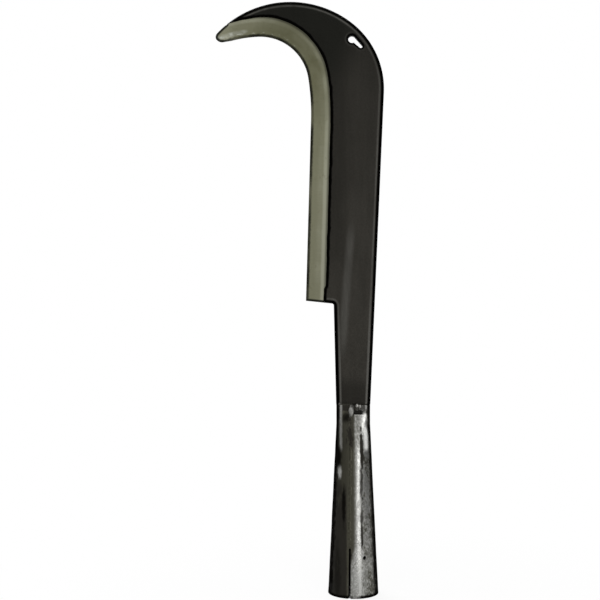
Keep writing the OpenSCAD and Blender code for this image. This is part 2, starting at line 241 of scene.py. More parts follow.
class FinishColours(bpy.types.PropertyGroup):
    """Colours of the finishes"""

    scale_dark: colour("Forge scale, dark", (0.0100, 0.0092, 0.0070), "Darkest of the blade's scale")
    scale_brown: colour("Forge scale, brown", (0.0415, 0.0376, 0.0296), "Lighter of the blade's scale")
    # Also paints the sheen along the rib and the highlights along the arrises
    scale_worn: colour("Forge scale, worn", (0.078, 0.075, 0.066), "Where the scale is rubbed thin")
    ground: colour("Ground steel", (0.282, 0.280, 0.188), "The greyed bevel")
    ground_dull: colour("Ground steel, dull", (0.130, 0.128, 0.066), "The bevel inside the hook")
    # Also paints the highlight near the tip
    ground_pale: colour("Ground steel, pale", (0.45, 0.45, 0.34), "Where the bevel was ground last")
    sheet: colour("Sheet steel", (0.385, 0.385, 0.368), "Bare sheet of the socket")
    # Also paints shade on the left leaf and on the far sides
    sheet_olive: colour("Sheet steel, dulled", (0.075, 0.072, 0.054), "Sheet under a thin skin of scale")
    # Also paints shade on the far sides
    sheet_scale: colour("Mill scale", (0.022, 0.020, 0.016), "Patches of scale on the socket")
    weld: colour("Weld metal", (0.40, 0.395, 0.37), "Bare weld metal")
    weld_burnt: colour("Weld metal, burnt", (0.040, 0.038, 0.032), "Burnt skin of the welds")
    floor: colour("Floor", (0.70, 0.70, 0.70), "The pale floor")


class StageSizes(bpy.types.PropertyGroup):
    """Sizes of the stage"""

    camera_gap: length("Camera distance", 824, "From the camera to the blade's plane")
    camera_x: length("Camera place", -41.1, "Across, from the socket axis")
    camera_z: length("Camera height", 225.62, "Above the floor")
    lens: FloatProperty(name="Lens", description="Focal length", default=64.0, unit="CAMERA")
    floor_r: length("Floor radius", 320, "Radius of the floor")
    key_power: power("Key", 3.4, "Power of the soft box on the right")
    top_power: power("Top", 6.0, "Power of the soft box above")
    back_power: power("Back", 22.0, "Power of the soft box high behind")


class BillhookSettings(bpy.types.PropertyGroup):
    """All that the panel shows"""

    socket: group("Socket", SocketSizes)
    blade: group("Blade", BladeSizes)
    weld: group("Welds", WeldSizes)
    finish: group("Finishes", FinishColours)
    stage: group("Stage", StageSizes)


# Lines of the blade. A pose is (x, z, heading) and a run is (length, 0) or (radius, turn to the left).

def unit(v):
    """A vector's direction."""
    return v / np.linalg.norm(v)


def bearing(v):
    """Angle of a vector."""
    return math.atan2(v[1], v[0])


def toward(angle):
    """Direction at an angle."""
    return np.array((math.cos(angle), math.sin(angle)))


def left_of(v):
    """A vector turned a quarter to the left."""
    return np.array((-v[1], v[0]))


def arc_centre(pose, r):
    """Centre of a left-hand arc that starts at a pose."""
    return np.array((pose[0] - r * math.sin(pose[2]), pose[1] + r * math.cos(pose[2])))


def after(pose, run):
    """The pose at the end of a run."""
    size, bend = run
    if bend == 0:
        return (pose[0] + size * math.cos(pose[2]), pose[1] + size * math.sin(pose[2]), pose[2])
    c, heading = arc_centre(pose, size), pose[2] + bend
    return (c[0] + size * math.sin(heading), c[1] - size * math.cos(heading), heading)


def walk(pose, runs, step):
    """Poses along some runs, about a step apart."""
    poses = [pose]
    for size, bend in runs:
        start, count = poses[-1], max(2, round(size * (bend or 1) / step))
        for i in range(1, count + 1):
            part = (size, bend * i / count) if bend else (size * i / count, 0)
            poses.append(after(start, part))
    return np.array(poses)


def heading_at(c, p):
    """Heading of a left-hand circle about c at a point of it."""
    return bearing(p - c) + math.pi / 2


def circles_cross(a, ra, b, rb):
    """Where two circles cross, on the far side from the socket."""
    gap = math.dist(a, b)
    u = (b - a) / gap
    s = (ra * ra - rb * rb + gap * gap) / (2 * gap)
    return a + s * u - math.sqrt(ra * ra - s * s) * left_of(u)


def line(p, q, step):
    """Points from p up to q, which is left out."""
    count = max(1, round(math.dist(p, q) / step))
    return np.linspace(p, q, count, endpoint=False)


def arc(c, r, start, end, step):
    """Points of an arc about c, both ends included."""
    count = max(4, round(abs(end - start) * r / step))
    a = np.linspace(start, end, count + 1)
    return np.stack((c[0] + r * np.cos(a), c[1] + r * np.sin(a)), 1)


def beside(poses, gap):
    """Points at a distance to the right of some poses."""
    return poses[:, :2] + np.stack((np.sin(poses[:, 2]), -np.cos(poses[:, 2])), 1) * np.reshape(gap, (-1, 1))


def run_length(points):
    """Distance along a line of points."""
    return np.concatenate(([0], np.cumsum(np.hypot(*np.diff(points, axis=0).T))))


def ripple(places, size, seed):
    """Smooth unevenness from -1 to 1 at some places, which changes over about a size."""
    places = np.reshape(places, (len(places), -1)) / size
    spare = 2 - places.shape[1]
    return np.array([noise.noise(Vector((*p, *(0.37,) * spare, seed))) for p in places])


def smooth_step(low, high, x):
    """0 up to low, 1 from high on, smooth between them."""
    t = np.clip((x - low) / (high - low), 0, 1)
    return t * t * (3 - 2 * t)


def soft_min(a, b, k):
    """The lesser of two, rounded over k where they meet."""
    h = np.clip(0.5 + 0.5 * (b - a) / k, 0, 1)
    return b * (1 - h) + a * h - k * h * (1 - h)


def rounded(half, gap, r):
    """Rounds a plate's corner of radius r at a gap from its rim."""
    d = np.clip(gap, 0, r)
    return half - r + np.sqrt(r * r - (r - d) ** 2)


def gap_to(points, path, block=3000):
    """Distance of points from a path, and how far along it the nearest place is."""
    a, ab = path[:-1], np.diff(path, axis=0)
    size = np.maximum((ab * ab).sum(1), 1e-18)
    start = run_length(path)[:-1]
    gaps, along = np.empty(len(points)), np.empty(len(points))
    for i in range(0, len(points), block):
        off = points[i:i + block, None] - a
        t = np.clip((off * ab).sum(2) / size, 0, 1)
        d = np.linalg.norm(off - t[..., None] * ab, axis=2)
        k = d.argmin(1)
        rows = np.arange(len(k))
        gaps[i:i + block] = d[rows, k]
        along[i:i + block] = start[k] + t[rows, k] * np.sqrt(size[k])
    return gaps, along


def within(points, loops):
    """Whether points lie inside an outline and outside its holes."""
    hit = np.zeros(len(points), bool)
    x, z = points.T
    for loop in loops:
        for (x0, z0), (x1, z1) in zip(loop, np.roll(loop, -1, 0)):
            if z0 != z1:
                hit ^= ((z0 > z) != (z1 > z)) & (x < (x1 - x0) * (z - z0) / (z1 - z0) + x0)
    return hit


class Drawing:
    """The blade's lines in the XZ plane, in metres, from the sizes in the panel."""

    # How far the edge runs on beyond the tip, and the shoulder before the heel and round the beak
    PAST_TIP, BEFORE_HEEL, BEAK_TURN = 8 * MM, 3 * MM, math.radians(20)
    # Where the tip's wear sets in and where it is full, from the tip's centre
    WORN_X, WORN_Z = np.array((9 * MM, -2 * MM)), np.array((1 * MM, -3.5 * MM))
    # How much narrower the bevel is at the heel, where that ends, and where it narrows for the tip
    JOG, JOG_ENDS, NARROWS = 1.5 * MM, (9 * MM, 12.5 * MM), (208 * MM, 264 * MM)

    def __init__(self, socket, b):
        step, crown = LINE_STEP, socket.socket_len
        self.crown, self.step = crown, step
        heel = (-b.heel_x, crown + b.neck_len, math.pi / 2 - b.edge_lean)
        runs = [(b.edge_straight, 0), (b.ease_r, b.ease_turn), (b.hook_r, b.hook_turn)]
        hook = after(after(heel, runs[0]), runs[1])
        beak = after(hook, runs[2])
        hook_c, beak_c = arc_centre(hook, b.hook_r), arc_centre(beak, b.beak_r)
        foot = (socket.crown_r, crown, math.pi / 2 - b.spine_lean)
        fall = b.crest_drop + b.crest_r * math.sin(b.spine_lean)
        spine_len = (hook_c[1] - fall - crown) / math.cos(b.spine_lean)
        spine_end = after(foot, (spine_len, 0))
        self.crest_c = arc_centre(spine_end, b.crest_r)
        brow = after(spine_end, (b.crest_r, b.crest_turn))
        brow_c = arc_centre(brow, b.brow_r)
        tip_c = circles_cross(brow_c, b.brow_r - b.tip_r, beak_c, b.beak_r + b.tip_r)
        on_brow = brow_c + (tip_c - brow_c) * b.brow_r / (b.brow_r - b.tip_r)
        on_edge = beak_c + (tip_c - beak_c) * b.beak_r / (b.beak_r + b.tip_r)
        beak_turn = heading_at(beak_c, on_edge) - beak[2]
        brow_turn = heading_at(brow_c, on_brow) - brow[2]
        self.edge = walk(heel, runs + [(b.beak_r, beak_turn)], step)[:, :2]
        self.edge_past = walk(heel, runs + [(b.beak_r, beak_turn + self.PAST_TIP / b.beak_r)], step)[:, :2]
        back_runs = [(spine_len, 0), (b.crest_r, b.crest_turn), (b.brow_r, brow_turn)]
        self.back = walk(foot, back_runs, step)[:, :2]
        tip_end = bearing(on_edge - tip_c) % (2 * math.pi)
        self.tip = arc(tip_c, b.tip_r, bearing(on_brow - tip_c), tip_end, step / 2)
        for points in (self.edge, self.tip):
            worn = smooth_step(*(tip_c[0] + self.WORN_X), points[:, 0])
            points[:, 1] += b.tip_wear * worn * smooth_step(*(tip_c[1] + self.WORN_Z), points[:, 1])
        self.heel = np.array(heel[:2])
        self.corner = np.array((-b.neck_top, heel[1] - (b.heel_x - b.neck_top) * math.tan(b.heel_fall)))
        self.neck_foot = np.array((-socket.crown_r, crown))
        self.shoulder = self.draw_shoulder(b, heel, runs, brow_c, step)
        self.split_back()
        self.draw_side(b, socket)
        self.hole = self.draw_hole(b)

    def draw_shoulder(self, b, heel, runs, brow_c, step):
        """The line where the bevel meets the face, from the heel to the brow, a little ragged."""
        early = self.BEFORE_HEEL
        start, first = after(heel, (-early, 0)), (runs[0][0] + early, 0)
        poses = walk(start, [first, *runs[1:], (b.beak_r, self.BEAK_TURN)], step)
        s = run_length(poses[:, :2]) - early
        stray = 0.65 * ripple(s, 15 * MM, 3.1) + 0.45 * ripple(s, 4.5 * MM, 8.6)
        jog = self.JOG * (1 - smooth_step(*self.JOG_ENDS, s))
        narrow = b.tip_narrow * smooth_step(*self.NARROWS, s)
        points = beside(poses, b.bevel_w + b.wander * stray - jog - narrow)
        fall = self.corner - self.heel
        above = (points - self.heel) @ left_of(fall) / np.linalg.norm(fall)
        room = b.brow_r - np.linalg.norm(points - brow_c, axis=1)
        past = len(s) - np.argmax(room[::-1] > 0) - 1
        low = np.argmax(above > 0)

        def between(i, values):
            """Where the values pass zero after a point."""
            share = values[i] / (values[i] - values[i + 1])
            return points[i] + share * (points[i + 1] - points[i])

        return np.vstack((between(low - 1, above), points[low:past + 1], between(past, room)))

    def split_back(self):
        """Splits the back where the shoulder runs out of it."""
        leave = self.shoulder[-1]
        at = gap_to(leave[None], self.back)[1][0]
        s = run_length(self.back)
        margin = 0.3 * self.step
        self.body_back = np.vstack((self.back[s < at - margin], leave))
        self.nose_back = np.vstack((leave, self.back[s > at + margin]))

    def draw_side(self, b, socket):
        """The heel, its fillet, the neck's left edge and the tang, from the shoulder to the spine."""
        to_heel, to_crown = unit(self.heel - self.corner), unit(self.neck_foot - self.corner)
        half = math.acos(to_heel @ to_crown) / 2
        run = b.heel_fillet / math.tan(half)
        c = self.corner + unit(to_heel + to_crown) * b.heel_fillet / math.sin(half)
        ends = self.corner + run * to_heel, self.corner + run * to_crown
        start, end = (bearing(p - c) for p in ends)
        end += 2 * math.pi * round((start - end) / (2 * math.pi))
        tang_t = b.neck_t - 2 * b.tang_gap
        tang = math.sqrt((socket.crown_r - socket.socket_wall - b.tang_gap) ** 2 - tang_t ** 2 / 4)
        low = self.crown - b.tang_len
        stops = [
            self.neck_foot, (-tang, self.crown), (-b.tang_end / 2, low), (b.tang_end / 2, low),
            (tang, self.crown), self.body_back[0],
        ]
        fillet = arc(c, b.heel_fillet, start, end, self.step / 2)[:-1]
        rest = [line(p, q, self.step) for p, q in zip([ends[1], *stops[:-1]], stops)]
        self.side = np.vstack((line(self.shoulder[0], ends[0], self.step), fillet, *rest, stops[-1]))

    def draw_hole(self, b):
        """The keyhole that the blade hangs by, as a loop that runs with the clock."""
        c = self.crest_c + (b.crest_r - b.hang_inset) * toward(b.hang_angle)
        u = toward(b.hang_angle - math.pi / 2 + b.hang_slant)
        off = 0.9 * (b.hang_r - b.hang_slot_r)
        upper, lower = (math.asin((off + side * b.hang_slot_r) / b.hang_r) for side in (1, -1))
        fine = self.step / 2
        big = arc((0, 0), b.hang_r, upper, lower + 2 * math.pi, fine)
        small = arc((b.hang_len, off), b.hang_end_r, -math.pi / 2, math.pi / 2, fine)
        sides = line(big[-1], small[0], fine), line(small[-1], big[0], fine)
        loop = np.vstack((big[:-1], sides[0], small[:-1], sides[1]))
        return (c + loop[:, :1] * u + loop[:, 1:] * left_of(u))[::-1]

    def body_loops(self):
        """The outline of the body and its hole."""
        return [np.vstack((self.side[:-1], self.body_back[:-1], self.shoulder[:0:-1])), self.hole]

    def steel_loops(self):
        """The outline of the ground edge."""
        heel = line(self.heel, self.shoulder[0], self.step)
        return [np.vstack((heel, self.shoulder[:-1], self.nose_back[:-1], self.tip[:-1], self.edge[:0:-1]))]


class SocketForm:
    """The rolled socket's surface. Angles are from the front towards the right."""

    def __init__(self, socket, neck_t):
        self.s = socket
        self.knee = socket.socket_len - socket.tube_len
        self.crown_half = neck_t / 2 + socket.socket_wall
        start = socket.socket_len - socket.pinch_len
        self.slope = (self.cone(start) - self.crown_half) / socket.pinch_len

    def cone(self, z):
        """Outer radius of the cone and the tube above it."""
        return self.s.mouth_r + (self.s.crown_r - self.s.mouth_r) * np.minimum(z, self.knee) / self.knee

    def radius(self, a, z, inset):
        """Distance from the axis to the surface, set in by an inset."""
        slab = self.crown_half + self.slope * (self.s.socket_len - z) - inset * math.hypot(1, self.slope)
        slab = slab / np.maximum(np.abs(np.cos(a)), 1e-3)
        round_part, power = self.cone(z) - inset, 11.0
        return (round_part ** -power + slab ** -power) ** (-1 / power)

    def marks(self, a, z):
        """Places on the unrolled and on the rolled sheet, in millimetres, and degrees from the front."""
        a, r = np.where(a > math.pi, a - 2 * math.pi, a), self.cone(z)
        unrolled = np.stack((a * r, z, 0 * z), 1) / MM
        rolled = np.stack((r * np.sin(a), z, r * (1 - np.cos(a))), 1) / MM
        return unrolled, rolled, np.abs(np.degrees(a))

    def at(self, a, z, inset=0.0):
        """Points of the surface."""
        r = self.radius(a, z, inset)
        return np.stack((r * np.sin(a), -r * np.cos(a), np.broadcast_to(z, r.shape)), -1)


# Meshes

def plate(loops, step, rings, half):
    """A closed plate between two faces, as vertices, faces, the places of its points and its rim's points.

    half gives how far the front and the back of each point lie from the middle plane. The vertices are
    those of the front, those of the back and a ring round the middle of the walls.
    """
    closed = [np.vstack((loop, loop[:1])) for loop in loops]

    def rim_gap(points):
        """Distance of points from the nearest loop."""
        return np.min([gap_to(points, loop)[0] for loop in closed], 0)

    points, edges, first = [], [], 0
    for loop in loops:
        count = len(loop)
        edges += [(first + i, first + (i + 1) % count) for i in range(count)]
        points.append(loop)
        first += count
    for loop in loops:
        way = np.roll(loop, -1, 0) - np.roll(loop, 1, 0)
        inward = np.stack((-way[:, 1], way[:, 0]), 1) / np.linalg.norm(way, axis=1)[:, None]
        for r in rings:
            ring = loop + r * inward
            ring = ring[within(ring, loops)]
            points.append(ring[rim_gap(ring) > 0.93 * r])
    low, high = loops[0].min(0), loops[0].max(0)
    rows = np.arange(low[1], high[1], step * math.sqrt(3) / 2)
    cols = np.arange(low[0], high[0], step)
    grid = np.array([(x + step / 2 * (k % 2), z) for k, z in enumerate(rows) for x in cols])
    grid = grid[within(grid, loops)]
    points.append(grid[rim_gap(grid) > rings[-1] + 0.5 * step])
    drawn = [Vector(p) for p in np.vstack(points) / MM]
    found, _, tris, origin, _, _ = delaunay_2d_cdt(drawn, edges, [], 1, 1e-5)
    places = np.array(found) * MM
    tris = np.array(tris)
    tris = tris[within(places[tris].mean(1), loops)]
    used = np.unique(tris)
    rank = np.full(len(places), -1)
    rank[used] = np.arange(len(used))
    index = {i: rank[k] for k, group in enumerate(origin) for i in group}
    places, tris = places[used], rank[tris]
    front, back = half(places)
    n = len(places)
    rim = np.array([index[i] for i, _ in edges])
    middle = {p: 2 * n + k for k, p in enumerate(rim)}
    verts = np.vstack((
        np.stack((places[:, 0], -front, places[:, 1]), 1),
        np.stack((places[:, 0], back, places[:, 1]), 1),
        np.stack((places[rim, 0], (back - front)[rim] / 2, places[rim, 1]), 1),
    ))
    faces = tris.tolist() + (tris[:, ::-1] + n).tolist()
    for i, j in edges:
        p, q = index[i], index[j]
        faces += [(p, middle[p], middle[q], q), (middle[p], p + n, q + n, middle[q])]
    return verts, faces, places, rim


def shell(outer, inner, present):
    """A closed shell between two grids of points, with the cells that are present."""
    cols, rows = outer.shape[:2]
    n = cols * rows
    faces = []
    has = np.zeros((cols + 1, rows + 1), bool)
    has[1:-1, 1:-1] = present
    for i, j in zip(*np.nonzero(present)):
        a, b = i * rows + j, (i + 1) * rows + j
        ring = (a, b, b + 1, a + 1)
        faces += [ring, tuple(k + n for k in reversed(ring))]
        beyond = has[i + 1, j], has[i + 2, j + 1], has[i + 1, j + 2], has[i, j + 1]
        for p, q, kept in zip(ring, (*ring[1:], a), beyond):
            if not kept:
                faces.append((p, p + n, q + n, q))
    verts = np.vstack((outer.reshape(-1, 3), inner.reshape(-1, 3)))
    used = np.unique(np.concatenate([np.array(f) for f in faces]))
    rank = np.zeros(len(verts), int)
    rank[used] = np.arange(len(used))
    return verts[used], [tuple(rank[list(f)]) for f in faces], used


def finished(obj):
    """Makes an object's modifiers part of its mesh."""
    made = bpy.data.meshes.new_from_object(obj.evaluated_get(bpy.context.evaluated_depsgraph_get()))
    obj.modifiers.clear()
    old, obj.data = obj.data, made
    bpy.data.meshes.remove(old)
    made.name = obj.name
    return obj


def new_object(name, verts, faces, edges=()):
    """A new object with its place in its mesh."""
    mesh = bpy.data.meshes.new(name)
    mesh.from_pydata(np.asarray(verts).tolist(), list(edges), faces)
    mesh.update()
    obj = bpy.data.objects.new(name, mesh)
    bpy.context.scene.collection.objects.link(obj)
    return obj


def mark(obj, **marks):
    """Writes numbers or vectors on an object's points, for its finish to read."""
    for name, values in marks.items():
        values = np.asarray(values, np.float32)
        kind, field = ("FLOAT", "value") if values.ndim == 1 else ("FLOAT_VECTOR", "vector")
        attribute = obj.data.attributes.new(name, kind, "POINT")
        attribute.data.foreach_set(field, values.ravel())


def mark_plate(obj, ring, **lengths):
    """Marks a plate's front, its back and the ring on its walls with lengths, in millimetres."""
    mark(obj, **{name: np.concatenate((v, v, v[ring])) / MM for name, v in lengths.items()})


def smooth(obj, degrees):
    """Smooth shading, with edges sharper than an angle kept sharp."""
    obj.data.shade_smooth()
    obj.data.set_sharp_from_angle(angle=math.radians(degrees))


def settle(obj, material, slot, *nodes):
    """Puts a piece with its finish in the place of its CAD nodes."""
    points = np.empty((len(obj.data.vertices), 3), np.float32)
    obj.data.vertices.foreach_get("co", points.ravel())
    obj.data.vertices.foreach_set("co", np.clip(points, *CAD_BOX).ravel())
    obj.data.update()
    obj.data.materials.clear()
    obj.data.materials.append(material)
    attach(obj, "root")
    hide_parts(*nodes)


# Node trees

class Wire:
    """A node's output. Sums with numbers add Math nodes."""

    def __init__(self, bench, socket):
        self.bench, self.socket = bench, socket

    def reckon(self, operation, *terms):
        """One Math node on some terms."""
        return self.bench.add("ShaderNodeMath", {"operation": operation}, dict(enumerate(terms)))

    def __add__(self, other):
        return self.reckon("ADD", self, other)

    def __mul__(self, other):
        return self.reckon("MULTIPLY", self, other)

    def __sub__(self, other):
        return self.reckon("SUBTRACT", self, other)

    def __rsub__(self, other):
        return self.reckon("SUBTRACT", other, self)

    def __abs__(self):
        return self.reckon("ABSOLUTE", self)

    __radd__, __rmul__ = __add__, __mul__

    def most(self, *others):
        """The greatest of this and some others."""
        top = self
        for other in others:
            top = self.reckon("MAXIMUM", top, other)
        return top

    def least(self, other):
        """The lesser of this and another."""
        return self.reckon("MINIMUM", self, other)

    def fade(self, low, high, start=0, end=1):
        """Goes smoothly from start to end as this goes from low to high."""
        return self.bench.add(
            "ShaderNodeMapRange", {"interpolation_type": "SMOOTHSTEP"},
            {"Value": self, "From Min": low, "From Max": high, "To Min": start, "To Max": end},
        )

    def band(self, middle, width, outside=0, inside=1):
        """One value where this is at the middle of a band, another from the band's half width on."""
        return abs(self - middle).fade(0, width, inside, outside)

    def axis(self, out):
        """One of a vector's three numbers."""
        return self.bench.add("ShaderNodeSeparateXYZ", sockets={"Vector": self}, out=out)

    def vector(self, operation, *terms, out=0):
        """One Vector Math node on this and some terms."""
        sockets = dict(enumerate((self, *terms)))
        return self.bench.add("ShaderNodeVectorMath", {"operation": operation}, sockets, out)

    def size(self):
        """A vector's length."""
        return self.vector("LENGTH", out="Value")

    def grain(self, scale, detail, rough, seed):
        """Noise about 0.5 at a place. A scale of three numbers stretches it along the axes."""
        place = self
        if isinstance(scale, tuple):
            place, scale = self.vector("MULTIPLY", scale), 1
        return self.bench.add(
            "ShaderNodeTexNoise", {"noise_dimensions": "4D"},
            {"Vector": place, "W": seed, "Scale": scale, "Detail": detail, "Roughness": rough},
        )


class Bench:
    """Adds nodes to one tree."""

    def __init__(self, tree):
        self.tree = tree
        tree.nodes.clear()

    def add(self, kind, settings=None, sockets=None, out=0):
        """One node, with its settings set before its sockets. Gives back one of its outputs."""
        node = self.tree.nodes.new(kind)
        for key, value in (settings or {}).items():
            setattr(node, key, value)
        for key, value in (sockets or {}).items():
            socket = node.inputs[key]
            if isinstance(value, Wire):
                self.tree.links.new(value.socket, socket)
            else:
                socket.default_value = (*value, 1.0)[:4] if socket.type == "RGBA" else value
        return Wire(self, node.outputs[out]) if len(node.outputs) else None

    def rays(self):
        """Whether a ray comes from the camera, and whether it comes off or through a surface."""
        kinds = ("Camera", "Glossy", "Transmission")
        camera, glossy, clear = (self.add("ShaderNodeLightPath", out=f"Is {kind} Ray") for kind in kinds)
        return camera, glossy.most(clear)


class Finish(Bench):
    """A material, built from what its surface shows."""

    def __init__(self, name):
        self.material = bpy.data.materials.new(name)
        self.material.use_nodes = True
        super().__init__(self.material.node_tree)
        self.place = self.add("ShaderNodeTexCoord", out="Object")

    def read(self, *names, out="Fac"):
        """Marks on the piece's points."""
        return [self.add("ShaderNodeAttribute", {"attribute_name": name}, out=out) for name in names]

    def tint(self, factor, a, b):
        """A colour between two."""
        return self.add("ShaderNodeMix", {"data_type": "RGBA"}, {0: factor, 6: a, 7: b}, out=2)

    def skin(self, relief, depth, **sockets):
        """The surface itself, with a relief of 0 to 1 over a depth in metres."""
        normal = self.add("ShaderNodeBump", sockets={"Height": relief, "Distance": depth})
        named = {key.replace("_", " "): value for key, value in sockets.items()}
        bsdf = self.add("ShaderNodeBsdfPrincipled", sockets=named | {"Normal": normal})
        self.add("ShaderNodeOutputMaterial", sockets={"Surface": bsdf})
        return self.material


# Finishes. The marks on the pieces are in millimetres, and object places in metres.

def forged_finish(f):
    """Black-brown forge scale, with wear and painted highlights on corners, a painted sheen along the rib
    and painted shade along the rims.
    """
    m = Finish("forged_scale")
    rim, lip, eye, ridge, wall = m.read("rim", "lip", "eye", "ridge", "wall")
    right, height = m.place.axis("X"), m.place.axis("Z")
    cloud = m.place.grain(26, 4, 0.55, 1)
    streak = m.place.grain((150, 150, 16), 4, 0.6, 2)
    speck = m.place.grain(700, 3, 0.65, 3)
    tone = height.fade(0.23, 0.37, 0.61, 0.36) - height.fade(0.37, 0.44, 0, 0.22)
    tone = tone - height.fade(0.170, 0.157, 0, 0.36)
    tone = tone * (1 - right.fade(-0.001, -0.010, 0, 0.36) * height.fade(0.24, 0.285))
    tone = tone * (0.25 * cloud + 0.4 * streak + 0.35 * speck).fade(0.30, 0.70, 0.65, 1.35)
    base = m.tint(tone, f.scale_dark, f.scale_brown)
    base = m.tint((height - 2 * right).fade(0.395, 0.455, 0, 0.7), base, SCALE_HOOK)
    # A painted sheen: a lighter band beside the rib's crease, tinted like worn scale
    flank = ridge.fade(-5, -1.7) * ridge.fade(4, 0.2)
    flank = flank * height.fade(0.290, 0.262) * height.fade(0.172, 0.205)
    # Wear and a painted highlight: a light line inside the rims' painted shade and round the hole, stronger
    # low down
    arris_wear_and_highlight = rim.band(3.3, 0.9).most(0.2 * eye.band(2.3, 0.8)) * cloud.fade(0.36, 0.56, 0.15, 1)
    arris_wear_and_highlight = arris_wear_and_highlight.most(1.5 * rim.band(3.4, 1.2) * height.fade(0.255, 0.180, 0.4, 1))
    worn = (0.74 * flank).most(arris_wear_and_highlight) * streak.fade(0.28, 0.6, 0.55, 1)
    worn = worn.most(0.55 * wall.fade(0.45, 0.9) * cloud.fade(0.35, 0.6))
    base = m.tint(worn, base, f.scale_worn)
    # Painted shade: a near-black band along the rims, round the hole and along the bevel's shoulder, not on
    # the walls' middle
    ragged = lip + 2 * (m.place.grain(170, 4, 0.6, 4) - 0.5)
    dark = rim.fade(2.7, 2.1).most(eye.fade(1.7, 1.1)) * wall.fade(0.5, 0.1)
    dark = dark.most(ragged.fade(3, 1.7))
    base = m.tint(dark, base, RIM_SHADE)
    metal = (0.75 - 0.5 * tone - 0.3 * worn).most(dark)
    rough = 0.44 + 0.20 * (speck - 0.5) + 0.14 * (cloud - 0.5) - 0.08 * worn + 0.1 * dark
    relief = 0.6 * m.place.grain(420, 4, 0.6, 5) + 0.4 * m.place.grain(120, 3, 0.5, 6)
    return m.skin(
        relief, 0.16 * MM, Base_Color=base, Roughness=rough, Metallic=metal, Specular_IOR_Level=0.3,
    )


def ground_finish(f):
    """Ground steel, greyed, with its scratches across the bevel, painted shade along its edges and shoulder,
    and painted highlights near the tip.
    """
    m = Finish("ground_bevel")
    across, along, rim = m.read("across", "along", "rim")
    path = m.add("ShaderNodeCombineXYZ", sockets={"X": along, "Y": across})
    wide = path.grain((0.05, 0.08, 0), 3, 0.5, 1)
    lines = path.grain((1.6, 0.06, 0), 4, 0.6, 2)
    fine = path.grain((6, 0.22, 0), 2, 0.6, 3)
    tone = 0.5 * wide + 0.3 * lines + 0.2 * fine
    # Painted highlights: the bevel is paled near the tip, and glints are painted near it
    near_tip = along.fade(238, 254)
    pale = 0.35 * across.fade(4.5, 8.5) + 0.95 * across.fade(9.8, 12.3)
    pale = 0.8 * pale.most(near_tip * across.fade(9, 2)) + 1.3 * (tone - 0.5)
    base = m.tint(pale.fade(0, 1), f.ground, f.ground_pale)
    in_hook = along.fade(80, 165) * (1 - near_tip) * wide.fade(0.35, 0.6, 0.6, 1)
    base = m.tint((0.55 + 0.3 * along.band(192, 45)) * in_hook, base, f.ground_dull)
    # Painted shade along the bevel's shoulder
    base = m.tint(across.fade(12.7, 14.5, 0, 0.65), base, GROUND_SHOULDER_SHADE)
    stain = path.grain((0.12, 0.2, 0), 4, 0.6, 5).fade(0.56, 0.76)
    base = m.tint(0.45 * stain, base, GROUND_STAIN)
    glint = path.grain((0.14, 0.35, 0), 3, 0.6, 7).fade(0.52, 0.66)
    glint = glint * across.band(3.2, 1.6) * along.fade(185, 215)
    broken = path.grain((0.22, 0.3, 0), 2, 0.5, 9).fade(0.42, 0.56, 0.35, 1)
    glint = glint.most(broken * across.band(4.6, 2.4) * along.fade(232, 242))
    base = m.tint(0.85 * glint, base, GROUND_GLINT)
    # Painted shade: a dark ragged band along the cutting edge, and along the rims
    ragged = across + 1.2 * (path.grain((0.5, 0.5, 0), 2, 0.5, 6) - 0.5)
    keen = path.grain((0.03, 0, 0), 2, 0.5, 8)
    dark = ragged.fade(2.7, 1.4) * keen.fade(0.38, 0.55, 0.5, 1)
    base = m.tint(0.95 * dark.most(rim.fade(2.3, 1.3)), base, GROUND_EDGE_SHADE)
    rough = 0.42 + 0.2 * (lines - 0.5) + 0.15 * (fine - 0.5) + 0.1 * stain
    return m.skin(0.6 * lines + 0.4 * fine, 0.06 * MM, Base_Color=base, Metallic=0.9, Roughness=rough)


